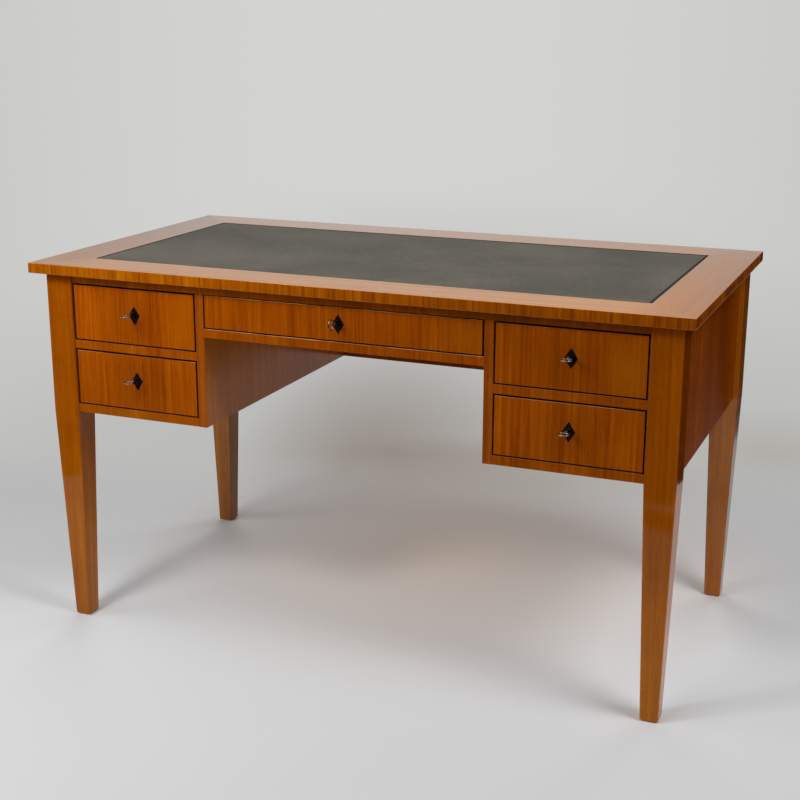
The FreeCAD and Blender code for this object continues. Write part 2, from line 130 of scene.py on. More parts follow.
class Finish(Nodes):
    """One material and the nodes that draw it."""

    def __init__(self, name, **constants):
        self.material = bpy.data.materials.new(name)
        self.material.use_nodes = True
        super().__init__(self.material.node_tree)
        self.shader = self.tree.nodes["Principled BSDF"]
        for socket, value in constants.items():
            self.set(socket.replace("_", " "), value)

    def set(self, socket, value):
        self.feed(self.shader.inputs[socket], value)

    def place(self, offset=(0, 0, 0)):
        """Places on the piece, moved to another part of the pattern."""
        spot = self.add("TexCoord", {}).outputs["Object"]
        return self.add("Mapping", {"Vector": spot, "Location": offset}).outputs["Vector"]

    def along(self, axis):
        """The place along one axis."""
        return self.add("SeparateXYZ", {"Vector": self.place()}).outputs[axis]

    def reach(self, axis):
        """The distance from the middle of the desk along one axis."""
        return self.add("Math", {0: self.along(axis)}, operation="ABSOLUTE").outputs[0]

    def leaning(self, axis):
        """How far a surface faces along an axis, from -1 to 1."""
        normal = self.add("TexCoord", {}).outputs["Normal"]
        return self.add("SeparateXYZ", {"Vector": normal}).outputs[axis]

    def facing(self, axis):
        """How squarely a surface faces along an axis either way, from 0 to 1."""
        return self.add("Math", {0: self.leaning(axis)}, operation="ABSOLUTE").outputs[0]

    def faced(self, axis):
        """1 on the faces along an axis and 0 on the others."""
        return self.span(self.facing(axis), *FACING_SPAN)

    def noise(self, vector, scale, detail=2.0, roughness=0.5, distortion=0.0):
        inputs = {"Vector": vector, "Scale": scale, "Detail": detail,
                  "Roughness": roughness, "Distortion": distortion}
        return self.add("TexNoise", inputs).outputs[0]

    def cells(self, vector, scale):
        return self.add("TexVoronoi", {"Vector": vector, "Scale": scale}).outputs["Distance"]

    def ramp(self, value, stops):
        made = self.add("ValToRGB", {"Fac": value})
        points = made.color_ramp.elements
        points[0].position, points[-1].position = stops[0][0], stops[-1][0]
        points[0].color, points[-1].color = (*stops[0][1], 1), (*stops[-1][1], 1)
        for place, colour in stops[1:-1]:
            points.new(place).color = (*colour, 1)
        return made.outputs["Color"]

    def blend(self, share, first, second, kind="MIX"):
        inputs = {0: share, 6: first, 7: second}
        return self.add("Mix", inputs, data_type="RGBA", blend_type=kind).outputs[2]

    def shade(self, colour, share):
        """A colour made lighter or darker by a value about 1."""
        grey = self.add("CombineColor", {0: share, 1: share, 2: share}).outputs[0]
        return self.blend(1.0, colour, grey, "MULTIPLY")

    def bump(self, height, distance):
        inputs = {"Height": height, "Distance": distance}
        self.set("Normal", self.add("Bump", inputs).outputs["Normal"])

    def patch(self, centre, reach, share):
        """A soft patch round a place on the piece."""
        spot = self.place([-along for along in centre])
        inside = self.times(spot, [1 / along for along in reach])
        return self.span(self.length(inside), 1.0, 0.0, 0.0, share)

    def arrises(self, radius):
        """1 along the edges of a piece and 0 on its flats."""
        rounded = self.add("Bevel", {"Radius": radius}, samples=6).outputs["Normal"]
        flat = self.add("NewGeometry", {}).outputs["Normal"]
        return self.span(self.likeness(rounded, flat), *ARRIS_TURN)

    def upper_arrises(self):
        """1 on the small rounds that face up and outwards."""
        up = self.leaning("Z")
        return self.product(self.span(up, *ABOVE_UPRIGHT), self.span(up, *BELOW_LEVEL))


# Woods. Along the grain a pattern's scale is this share of its scale across the grain:
# for long stripes, and for short pores.
LONG_GRAIN = 0.02
SHORT_GRAIN = 0.07


def grain_scale(axis, along):
    """The scale that draws a pattern out along one axis."""
    return tuple(along if axis == name else 1.0 for name in "xyz")


def grain_places(finish, grain, veneer, offset):
    """Places as they are, and drawn out along the grain for long stripes and for short pores.
    A veneered piece has another grain on the faces that its veneer covers."""
    spot = finish.place(offset)
    drawn = []
    for along in (LONG_GRAIN, SHORT_GRAIN):
        scale = grain_scale(grain, along)
        if veneer:
            axis, veneer_grain = veneer
            veneer_scale = grain_scale(veneer_grain, along)
            scale = finish.blend(finish.faced(axis), (*scale, 1), (*veneer_scale, 1))
        drawn.append(finish.times(spot, scale))
    return spot, drawn[0], drawn[1]


# Tones of the cherry veneer, from its dark lines to its light stripes
CHERRY_TONES = (
    (0.26, (0.190, 0.0310, 0.0004)),
    (0.44, (0.270, 0.0490, 0.0005)),
    (0.56, (0.315, 0.0620, 0.0007)),
    (0.74, (0.400, 0.0920, 0.0012)),
)
# Painted light: the golden tone that the patches of light on the fronts and rails blend to
PAINTED_LIGHT_GOLD = (0.370, 0.0980, 0.0012, 1.0)
# Darker patches: darker veneer, with painted shade and shadow
DARK_VENEER_AND_SHADOW = (0.68, 0.62, 0.7, 1.0)
PORE_BROWN = (0.34, 0.22, 0.14, 1.0)
BARE_WOOD = (0.52, 0.24, 0.07, 1.0)
# Rubbed wood, which is also pale as a painted highlight
RUBBED_AND_HIGHLIGHT_WOOD = (0.70, 0.42, 0.21, 1.0)
# A painted highlight on the top's lower arris
PAINTED_ARRIS_HIGHLIGHT = (0.50, 0.18, 0.045, 1.0)
CHIP_WHITE = (0.9, 0.82, 0.72, 1.0)
# Painted shade on the faces of rails and drawer fronts that shut against each other, in their gaps
GAP_SHADE_BROWN = (0.05, 0.014, 0.002, 1.0)
WARM_GLOSS = (1.0, 0.5, 0.16, 1.0)
CLEAR_GLOSS = (1.0, 0.9, 0.8, 1.0)
FAINT_GLOSS = (0.75, 0.7, 0.65, 1.0)
# Patterns in the cherry, in repeats per metre across the grain
BAND_SCALE = 26
STRIPE_SCALE = 125
LINE_SCALE = 430
SHIMMER_SCALE = 8
FLECK_SCALE = 560
PORE_SCALE = 1100
CHIP_SCALE = 160
RUB_HIGHLIGHT_SCALE = 14
# The fine lines' share of the figure, of which stripes and bands have the rest
LINE_SHARE = 0.15
# Shimmer and flecks make the wood this much darker and lighter
FIGURE_SHADES = (0.92, 1.08)
# Where the patterns are pores, chipped places, and rubbed places that also carry a painted highlight
PORE_SPAN = (0.58, 0.74)
CHIP_SPAN = (0.56, 0.70)
RUB_HIGHLIGHT_SPAN = (0.38, 0.58)
PORE_SHARE = 0.35
CHIP_SHARE = 0.5
LEAST_RUB_HIGHLIGHT = 0.12
ARRIS_RADIUS = 0.9 * MM
# Faces that shut turn away from the front, between these shares, and get this much painted shade
GAP_SHADE_SPAN = (0.97, 0.86)
GAP_SHADE_SHARE = 0.88
# The lower arris of the top, which gets a painted highlight: its height, and how far it faces down
LOWER_ARRIS = (0.7324, 0.7316)
LOWER_LEAN = (-0.9, -0.7)
# The walls of the leather's recess stand upright, and get painted shade
WALL_SPAN = (0.6, 0.4)
# Distances from the middle at which the kneehole ends, and heights at which the legs begin to taper
KNEEHOLE_END = (0.27, 0.29)
TAPER_START = (0.46, 0.43)
# How far the varnish is rougher or smoother along the stripes, and how far the pores sink
POLISH_RANGE = 0.03
VARNISH_RELIEF = 0.02 * MM


def cherry(name, grain, veneer=None, stripes=0.5, tone=(1, 1, 1), drift=None, edging=None, offset=(0, 0, 0),
           fineness=1.0, contrast=1.0, gloss=WARM_GLOSS, lustre=0.5, polish=0.16, glow=None, dark_veneer_and_shadow=None,
           top_light=False, rub_and_highlight=(0.5, 0.5), lower_arris_highlight=False, gap_shade=False, chip=None, recess=None):
    """Glossy cherry: broad bands, narrow stripes, fine pores and a slow shimmer under the varnish.
    The tone drifts along an axis to another. The upper arrises are rubbed and carry a painted
    highlight, by one share over the kneehole and by another beside it. Drawer fronts and rails get painted
    shade along their gaps."""
    wood = Finish(name, Specular_IOR_Level=lustre, Specular_Tint=gloss)
    spot, along, short = grain_places(wood, grain, veneer, offset)
    bands = wood.noise(along, BAND_SCALE, distortion=0.25)
    narrow = wood.noise(along, STRIPE_SCALE * fineness, roughness=0.55)
    lines = wood.noise(along, LINE_SCALE * fineness)
    figure = wood.weighted((bands, 1 - LINE_SHARE - stripes), (narrow, stripes), (lines, LINE_SHARE))
    figure = wood.span(figure, 0.5 - 0.5 / contrast, 0.5 + 0.5 / contrast)
    colour = wood.ramp(figure, CHERRY_TONES)
    colour = wood.blend(1.0, colour, cherry_tint(wood, tone, drift, edging), "MULTIPLY")
    for pattern in (wood.noise(spot, SHIMMER_SCALE, detail=1), wood.noise(short, FLECK_SCALE)):
        colour = wood.shade(colour, wood.span(pattern, *NOISE_SPAN, *FIGURE_SHADES))
    # A patch of painted light
    if glow:
        colour = wood.blend(wood.patch(*glow), colour, PAINTED_LIGHT_GOLD)
    # A darker patch: painted shade under the top, and the key's painted shadow over the darker middle of a
    # front's veneer
    if dark_veneer_and_shadow:
        colour = wood.blend(wood.patch(*dark_veneer_and_shadow), colour, DARK_VENEER_AND_SHADOW, "MULTIPLY")
    # Painted light on the upper faces of the top
    if top_light:
        colour = painted_top_light(wood, colour, spot, along)
    pores = wood.span(wood.noise(short, PORE_SCALE, detail=1), *PORE_SPAN)
    colour = wood.blend(wood.product(pores, PORE_SHARE), colour, PORE_BROWN, "MULTIPLY")
    arrises = wood.arrises(ARRIS_RADIUS)
    worn = wood.product(arrises, wood.span(wood.noise(spot, CHIP_SCALE), *CHIP_SPAN))
    colour = wood.blend(wood.product(worn, CHIP_SHARE), colour, BARE_WOOD)
    # Painted shade on the faces in the gaps
    if gap_shade:
        colour = wood.blend(wood.span(wood.facing("Y"), *GAP_SHADE_SPAN, 0.0, GAP_SHADE_SHARE), colour, GAP_SHADE_BROWN)
    # Rubbed upper arrises, which also carry a painted highlight
    rubbed = wood.span(wood.noise(spot, RUB_HIGHLIGHT_SCALE), *RUB_HIGHLIGHT_SPAN, LEAST_RUB_HIGHLIGHT, 1.0)
    rubbed = wood.product(rubbed, wood.span(wood.reach("X"), *KNEEHOLE_END, *rub_and_highlight))
    colour = wood.blend(wood.product(wood.upper_arrises(), rubbed), colour, RUBBED_AND_HIGHLIGHT_WOOD)
    # A painted highlight along the lower arris of the top
    if lower_arris_highlight:
        low = wood.span(wood.along("Z"), *LOWER_ARRIS)
        rubbed = wood.product(low, wood.span(wood.leaning("Z"), *LOWER_LEAN))
        colour = wood.blend(rubbed, colour, PAINTED_ARRIS_HIGHLIGHT)
    if chip:
        colour = wood.blend(wood.product(wood.patch(*chip), arrises), colour, CHIP_WHITE)
    # Painted shade on the walls of the leather's recess
    if recess:
        axis, reach = recess
        inside = wood.maths("LESS_THAN", wood.reach(axis), reach)
        walls = wood.product(inside, wood.span(wood.facing("Z"), *WALL_SPAN))
        colour = wood.blend(walls, colour, GAP_SHADE_BROWN)
    wood.set("Base Color", colour)
    wood.set("Roughness", wood.span(narrow, *NOISE_SPAN, polish - POLISH_RANGE, polish + POLISH_RANGE))
    wood.bump(wood.weighted((pores, -0.6), (narrow, 0.4)), VARNISH_RELIEF)
    return wood


def cherry_tint(wood, tone, drift, edging):
    """The tone of a piece, which can drift along an axis. The faces along another axis can have
    their own tone, and another one from the taper down."""
    tint = (*tone, 1)
    if drift:
        axis, start, end, far_tone = drift
        tint = wood.blend(wood.span(wood.along(axis), start, end), tint, (*far_tone, 1))
    if edging:
        axis, *tones = edging
        below = wood.span(wood.along("Z"), *TAPER_START)
        edge_tint = wood.blend(below, (*tones[0], 1), (*tones[-1], 1))
        tint = wood.blend(wood.faced(axis), tint, edge_tint, "MULTIPLY")
    return tint


# The top's upper faces carry painted light: paler where light falls, most of all along the front and at its
# right corner.
# Tones at the back left and at the front right, of the long borders and of the end borders.
MIDDLE_TOP_LIGHT = ((0.34, 0.126, 0.010, 1.0), (0.67, 0.258, 0.032, 1.0))
END_TOP_LIGHT = ((0.25, 0.089, 0.008, 1.0), (0.54, 0.181, 0.015, 1.0))
TOP_LIGHT_SLOPE = (0.42, -0.9)
TOP_LIGHT_SPAN = (-0.48, 0.48)
TOP_LIGHT_SHARE = 0.8
BORDER_END = (0.52, 0.60)
# Thin streaks, in patches
STREAK_SCALE = 330
STREAK_SPAN = (0.54, 0.66)
STREAK_PATCHES = 9
STREAK_PATCH_SPAN = (0.42, 0.60)
STREAK_TONE = 0.6
END_STREAKS = 0.6
# Broad stripes
TOP_STRIPES = 60
TOP_STRIPE_SHADES = (0.9, 1.1)


def painted_top_light(wood, colour, spot, along):
    """The upper faces of the top in painted light, paler towards the front and browner at the ends, with thin
    streaks.
    """
    slope = wood.weighted((wood.along("X"), TOP_LIGHT_SLOPE[0]), (wood.along("Y"), TOP_LIGHT_SLOPE[1]))
    share = wood.span(slope, *TOP_LIGHT_SPAN)
    ends = wood.span(wood.reach("X"), *BORDER_END)
    pale = wood.blend(ends, wood.blend(share, *MIDDLE_TOP_LIGHT), wood.blend(share, *END_TOP_LIGHT))
    streaks = wood.span(wood.noise(along, STREAK_SCALE, detail=3, roughness=0.6), *STREAK_SPAN)
    patches = wood.span(wood.noise(spot, STREAK_PATCHES, detail=1), *STREAK_PATCH_SPAN)
    streaks = wood.product(wood.product(streaks, patches), wood.span(ends, 0, 1, 1.0, END_STREAKS))
    pale = wood.shade(pale, wood.span(streaks, 0, 1, 1.0, STREAK_TONE))
    pale = wood.shade(pale, wood.span(wood.noise(along, TOP_STRIPES), *NOISE_SPAN, *TOP_STRIPE_SHADES))
    return wood.blend(wood.span(wood.facing("Z"), *FACING_SPAN, 0.0, TOP_LIGHT_SHARE), colour, pale)


# Tones of the plain wood inside the case and the drawers
PLAIN_TONES = (
    (0.25, (0.36, 0.205, 0.090)),
    (0.50, (0.50, 0.315, 0.150)),
    (0.75, (0.60, 0.400, 0.205)),
)
HANDLED_BROWN = (0.30, 0.17, 0.075, 1)
RING_SCALE = 46
RING_SHARE = 0.75
PLAIN_LINE_SCALE = 330
PLAIN_PORE_SCALE = 900
STAIN_SCALE = 5
STAIN_SHADES = (0.88, 1.08)
PLAIN_ARRIS_RADIUS = 1.2 * MM
HANDLED_SHARE = 0.35
PLAIN_ROUGHNESS = (0.5, 0.66)
PLANED_RELIEF = 0.12 * MM


def plain_wood(name, grain, tone=1.0, offset=(0, 0, 0)):
    """Waxed wood that was planed and never varnished."""
    wood = Finish(name, Specular_IOR_Level=0.3)
    spot, along, short = grain_places(wood, grain, None, offset)
    rings = wood.noise(along, RING_SCALE, detail=3, distortion=0.5)
    lines = wood.noise(along, PLAIN_LINE_SCALE)
    colour = wood.ramp(wood.weighted((rings, RING_SHARE), (lines, 1 - RING_SHARE)), PLAIN_TONES)
    shades = [shade * tone for shade in STAIN_SHADES]
    colour = wood.shade(colour, wood.span(wood.noise(spot, STAIN_SCALE), *NOISE_SPAN, *shades))
    pores = wood.span(wood.noise(short, PLAIN_PORE_SCALE, detail=1), *PORE_SPAN)
    colour = wood.blend(wood.product(pores, PORE_SHARE), colour, PORE_BROWN, "MULTIPLY")
    rubbed = wood.product(wood.arrises(PLAIN_ARRIS_RADIUS), HANDLED_SHARE)
    wood.set("Base Color", wood.blend(rubbed, colour, HANDLED_BROWN))
    wood.set("Roughness", wood.span(lines, *NOISE_SPAN, *PLAIN_ROUGHNESS))
    wood.bump(wood.weighted((pores, -0.5), (lines, 0.5)), PLANED_RELIEF)
    return wood


LEATHER_TONES = (
    (0.43, (0.036, 0.032, 0.021)),
    (0.50, (0.076, 0.067, 0.048)),
    (0.57, (0.126, 0.111, 0.079)),
)
CLOUD_SCALE = 4
MOTTLING_SCALE = 70
LEATHER_FLECK_SCALE = 420
PEBBLE_SCALE = 620
PEBBLE_SPAN = (0.25, 0.75)
PEBBLE_SHADES = (1.06, 0.82)
LEATHER_ROUGHNESS = (0.50, 0.62)
PEBBLE_RELIEF = 0.25 * MM
# The leather is dark along its rim, most at its right end, where the border's shadow is painted on it
LEATHER_RIM_X = (0.5530, 0.5545, 0.0, 0.7)
LEATHER_RIM_Y = (0.2515, 0.2535, 0.0, 0.7)
LEATHER_RIGHT_RIM_SHADOW = (0.5485, 0.5515, 0.0, 0.95)
RIM_DARK_AND_SHADOW = (0.012, 0.009, 0.006, 1.0)


def grained_leather():
    """Matt grey-green leather with a fine pebbled grain and slow changes of colour."""
    hide = Finish("grained_leather", Specular_IOR_Level=0.25)
    spot = hide.place()
    cloud = hide.noise(spot, CLOUD_SCALE)
    mottling = hide.noise(spot, MOTTLING_SCALE, detail=4, roughness=0.65)
    flecks = hide.noise(spot, LEATHER_FLECK_SCALE)
    pebbles = hide.cells(spot, PEBBLE_SCALE)
    colour = hide.ramp(hide.weighted((cloud, 0.27), (mottling, 0.33), (flecks, 0.4)), LEATHER_TONES)
    colour = hide.shade(colour, hide.span(pebbles, *PEBBLE_SPAN, *PEBBLE_SHADES))
    rim = hide.larger(hide.span(hide.reach("X"), *LEATHER_RIM_X), hide.span(hide.reach("Y"), *LEATHER_RIM_Y))
    # The border's painted shadow along the leather's right end
    rim = hide.larger(rim, hide.span(hide.along("X"), *LEATHER_RIGHT_RIM_SHADOW))
    hide.set("Base Color", hide.blend(rim, colour, RIM_DARK_AND_SHADOW))
    hide.set("Roughness", hide.larger(hide.span(mottling, *NOISE_SPAN, *LEATHER_ROUGHNESS), rim))
    hide.bump(hide.weighted((pebbles, -0.7), (mottling, 0.5)), PEBBLE_RELIEF)
    return hide


INLAY_TONES = ((0.35, (0.003, 0.003, 0.0025)), (0.7, (0.010, 0.007, 0.005)))
INLAY_LINE_SCALE = 900
INLAY_CLOUD_SCALE = 300
INLAY_ROUGHNESS = (0.24, 0.36)
INLAY_RELIEF = 0.03 * MM


def black_inlay():
    """Ebonised wood, nearly black, with a trace of brown along its grain."""
    inlay = Finish("black_inlay", Specular_IOR_Level=0.1)
    spot = inlay.place()
    lines = inlay.noise(inlay.times(spot, grain_scale("z", LONG_GRAIN)), INLAY_LINE_SCALE)
    inlay.set("Base Color", inlay.ramp(lines, INLAY_TONES))
    inlay.set("Roughness", inlay.span(inlay.noise(spot, INLAY_CLOUD_SCALE), *NOISE_SPAN, *INLAY_ROUGHNESS))
    inlay.bump(lines, INLAY_RELIEF)
    return inlay


# Metals: tones from dark to bright tarnish, tone of the rubbed edges, and roughness
NICKEL = (((0.3, (0.13, 0.098, 0.066)), (0.55, (0.25, 0.195, 0.135)), (0.75, (0.38, 0.300, 0.210))),
          (0.47, 0.365, 0.25, 1), 0.24)
IRON = (((0.3, (0.035, 0.030, 0.026)), (0.55, (0.07, 0.06, 0.052)), (0.75, (0.12, 0.105, 0.09))),
        (0.16, 0.14, 0.12, 1), 0.4)
BRASS = (((0.3, (0.26, 0.15, 0.045)), (0.55, (0.48, 0.31, 0.105)), (0.75, (0.62, 0.43, 0.17))),
         (0.74, 0.56, 0.26, 1), 0.36)
STEEL = (((0.3, (0.20, 0.19, 0.18)), (0.55, (0.36, 0.35, 0.33)), (0.75, (0.48, 0.47, 0.45))),
         (0.62, 0.61, 0.59, 1), 0.32)
# Painted shade on the keys, darker from their bows to their collars
KEY_DARKENING = (-0.342, -0.323)
KEY_DARKEST_SHADE = 0.1
TARNISH_SCALE = 260
SCRATCH_SCALE = 2600
SCRATCH_GRAIN = (1, 0.1, 1)
SCRATCH_SHARE = 0.15
METAL_ARRIS_RADIUS = 0.5 * MM
# Dark tarnish is rougher than the metal's roughness, and bright metal smoother
TARNISH_ROUGHNESS = (0.12, -0.08)
METAL_RELIEF = 0.02 * MM


def metal(name, tones, worn_tone, roughness, shade_towards_back=None):
    """Handled metal: cloudy tarnish, fine scratches and bright rubbed edges, with painted shade towards the
    back.
    """
    plate = Finish(name, Metallic=1.0)
    spot = plate.place()
    tarnish = plate.noise(spot, TARNISH_SCALE, detail=4, roughness=0.65)
    scratches = plate.noise(plate.times(spot, SCRATCH_GRAIN), SCRATCH_SCALE, detail=1)
    figure = plate.weighted((tarnish, 1 - SCRATCH_SHARE), (scratches, SCRATCH_SHARE))
    colour = plate.blend(plate.arrises(METAL_ARRIS_RADIUS), plate.ramp(figure, tones), worn_tone)
    # Painted shade, darker towards the drawer's face
    if shade_towards_back:
        colour = plate.shade(colour, plate.span(plate.along("Y"), *shade_towards_back, 1.0, KEY_DARKEST_SHADE))
    plate.set("Base Color", colour)
    rough, smooth = [roughness + change for change in TARNISH_ROUGHNESS]
    plate.set("Roughness", plate.span(tarnish, *NOISE_SPAN, rough, smooth))
    plate.bump(plate.weighted((scratches, 0.4), (tarnish, 0.6)), METAL_RELIEF)
    return plate


def dress(finish, *names):
    """Gives CAD pieces their finish."""
    for name in names:
        for slot in nodes[name].material_slots:
            slot.material = finish.material


# Tones of the case's pieces, and the axis along which some drift to another tone. Besides the cherry's own
# tone they hold painted light and shade: pieces and their sides are lighter or darker by how light falls on
# them.
LEFT_LEG_TONE = (1.12, 1.38, 1.0)
# The left leg is lighter and yellower low down: a painted reflection of the floor
LEFT_LEG_REFLECTION_DRIFT = ("Z", 0.44, 0.22, (1.20, 1.72, 2.0))
LEFT_LEG_SIDES = (1.02, 1.05, 0.6)
RIGHT_LEG_TONE = (1.07, 1.30, 1.0)
# The right leg is lighter and yellower low down: a painted reflection of the floor
RIGHT_LEG_REFLECTION_DRIFT = ("Z", 0.40, 0.10, (1.34, 2.12, 2.0))
# The right leg's sides: darker above, a painted shade, and lighter on the taper, a painted reflection of the
# floor
RIGHT_LEG_SHADED_SIDES = (0.52, 0.44, 0.4)
RIGHT_FOOT_PAINTED_REFLECTION = (1.25, 1.15, 0.6)
FRONT_LEG_OFFSET = (3.1, 0.7, 0)
REAR_LEG_TONE = (1.08, 1.75, 8.0)
# The rear right leg is lighter than the rear left one: painted light. The rear legs' sides are darker:
# painted shade.
REAR_LEG_LIGHT_DRIFT = ("X", -0.5, 0.5, (1.26, 1.85, 8.0))
REAR_LEG_SHADED_SIDES = (0.6, 0.52, 0.4)
PANEL_TONE = (0.80, 0.77, 0.3)
PANEL_DRIFT = ("Y", -0.2, 0.0, (0.71, 0.68, 0.3))
# The right side is darker under the top: a painted shade
PANEL_SHADE_UNDER_TOP = ((0.619, 0.02, 0.72), (0.1, 0.4, 0.2), 0.5)
KNEE_TONE = (1.33, 1.95, 4.0)
KNEE_DRIFT = ("Y", -0.3, 0.1, (1.15, 1.45, 3.0))
STILE_TONE = (0.72, 0.555, 1.0)
# The veneer of the front stands upright on its faces
FRONT_VENEER = ("Y", "z")
FRONT_FACE = -0.319
RAIL_TONE = (1.17, 1.26, 1.0)
RAIL_DRIFT = ("X", -0.5, 0.5, (0.99, 1.03, 1.0))
# Painted light on the left bottom rail
RAIL_PAINTED_LIGHT = ((-0.435, FRONT_FACE, 0.458), (0.2, 0.03, 0.015), 0.6)
TOP_RAIL_TONE = (1.22, 1.45, 0.9)
TOP_RAIL_DRIFT = ("X", -0.4, 0.4, (0.80, 0.95, 0.8))
EDGE_TONE = (1.31, 1.68, 1.2)
EDGE_DRIFT = ("X", -0.35, 0.22, (0.91, 1.07, 1.0))
END_EDGE_TONE = (0.83, 0.86, 1.0)
EDGE_RUB_AND_HIGHLIGHT = (0.15, 0.15)
# The recess of the leather, out to where its walls have ended
RECESS_X = ("X", 0.562)
RECESS_Y = ("Y", 0.262)
FRONT_EDGE_CHIP = ((-0.2924, -0.3495, 0.7495), (2.2 * MM, 3 * MM, 3 * MM), 1.0)


def dress_case():
    dress(cherry("left_leg_cherry", "z", stripes=0.45, tone=LEFT_LEG_TONE, drift=LEFT_LEG_REFLECTION_DRIFT,
                 edging=("X", LEFT_LEG_SIDES), offset=FRONT_LEG_OFFSET, gloss=CLEAR_GLOSS, lustre=0.3,
                 polish=0.06),
          "front_left_leg")
    dress(cherry("right_leg_cherry", "z", stripes=0.45, tone=RIGHT_LEG_TONE, drift=RIGHT_LEG_REFLECTION_DRIFT,
                 edging=("X", RIGHT_LEG_SHADED_SIDES, RIGHT_FOOT_PAINTED_REFLECTION), offset=FRONT_LEG_OFFSET,
                 gloss=CLEAR_GLOSS, lustre=0.3, polish=0.06),
          "front_right_leg")
    dress(cherry("rear_leg_cherry", "z", stripes=0.45, tone=REAR_LEG_TONE, drift=REAR_LEG_LIGHT_DRIFT,
                 edging=("X", REAR_LEG_SHADED_SIDES), offset=(8.3, 1.9, 0), gloss=CLEAR_GLOSS, polish=0.07),
          "rear_left_leg", "rear_right_leg")
    dress(cherry("panel_cherry", "z", stripes=0.2, tone=PANEL_TONE, drift=PANEL_DRIFT,
                 offset=(7.3, 2.2, 0), lustre=0.05, dark_veneer_and_shadow=PANEL_SHADE_UNDER_TOP),
          "left_side_panel", "right_side_panel", "back_panel")
    dress(cherry("inner_panel_cherry", "z", veneer=FRONT_VENEER, stripes=0.4, tone=KNEE_TONE,
                 drift=KNEE_DRIFT, edging=("Y", STILE_TONE), offset=(5.7, 4.1, 0), gloss=FAINT_GLOSS,
                 lustre=0.35),
          "left_inner_panel", "right_inner_panel")
    dress(cherry("top_rail_cherry", "x", veneer=FRONT_VENEER, tone=TOP_RAIL_TONE, drift=TOP_RAIL_DRIFT,
                 gap_shade=True),
          "top_rail")
    dress(cherry("rail_cherry", "x", veneer=FRONT_VENEER, tone=RAIL_TONE, drift=RAIL_DRIFT, fineness=1.35,
                 contrast=1.2, glow=RAIL_PAINTED_LIGHT, rub_and_highlight=(0.8, 0.1), gap_shade=True),
          "drawer_rails", "bottom_boards")
    dress(cherry("long_border_cherry", "x", veneer=FRONT_VENEER, stripes=0.6, tone=EDGE_TONE,
                 drift=EDGE_DRIFT, offset=(0, 1.7, 0.4), fineness=1.6, contrast=1.7, top_light=True,
                 rub_and_highlight=EDGE_RUB_AND_HIGHLIGHT, recess=RECESS_Y, chip=FRONT_EDGE_CHIP),
          "top_long_borders")
    dress(cherry("end_border_cherry", "y", veneer=("X", "z"), stripes=0.25, tone=END_EDGE_TONE,
                 offset=(2.9, 0, 0.8), fineness=0.4, contrast=2.6, lustre=0.3, top_light=True,
                 rub_and_highlight=EDGE_RUB_AND_HIGHLIGHT, lower_arris_highlight=True, recess=RECESS_X),
          "top_end_borders")
    dress(plain_wood("top_panel_wood", "x"), "top_panel", "glue_blocks")
    dress(plain_wood("runner_wood", "y", tone=0.95), "drawer_runners", "drawer_guides", "drawer_stops")


# The tone of each drawer's front, and how much more green than red it has. The left fronts are lighter than
# the right ones: painted light falling from the left.
FRONT_TONES = {"left_upper": 1.235, "left_lower": 1.235, "centre": 1.13,
               "right_upper": 1.07, "right_lower": 1.12}
FRONT_GREEN = 1.05
FRONT_DRIFTS = {"centre": ("X", 0.02, 0.18, (1.0, 1.05, 1.0))}
# How far its upper arris is rubbed and carries a painted highlight, and how fine its stripes are
FRONT_RUB_AND_HIGHLIGHT = {"left_upper": 0.15, "left_lower": 0.7, "centre": 0.8,
              "right_upper": 0.1, "right_lower": 0.35}
FRONT_FINENESS = {"left_upper": 1.9, "left_lower": 1.9, "centre": 1.5,
                  "right_upper": 1.35, "right_lower": 1.35}
# Where it is darker: a darker middle of its veneer with the key's shadow painted in. And where it has a patch
# of painted light
DARK_PATCH_REACH = (0.085, 0.05, 0.12)
FRONT_DARK_VENEER_AND_KEY_SHADOWS = {
    "left_upper": ((-0.433, FRONT_FACE, 0.635), DARK_PATCH_REACH, 0.85),
    "left_lower": ((-0.433, FRONT_FACE, 0.51), DARK_PATCH_REACH, 0.85),
    "right_upper": ((0.437, FRONT_FACE, 0.635), DARK_PATCH_REACH, 0.8),
    "right_lower": ((0.437, FRONT_FACE, 0.51), DARK_PATCH_REACH, 0.8),
}
FRONT_PAINTED_LIGHTS = {
    "left_upper": ((-0.335, FRONT_FACE, 0.655), (0.05, 0.03, 0.07), 0.6),
    "left_lower": ((-0.45, FRONT_FACE, 0.50), (0.08, 0.03, 0.05), 0.3),
    "centre": ((0.245, FRONT_FACE, 0.675), (0.06, 0.03, 0.05), 0.6),
    "right_upper": ((0.535, FRONT_FACE, 0.645), (0.055, 0.03, 0.07), 0.8),
    "right_lower": ((0.50, FRONT_FACE, 0.495), (0.05, 0.03, 0.03), 0.3),
}


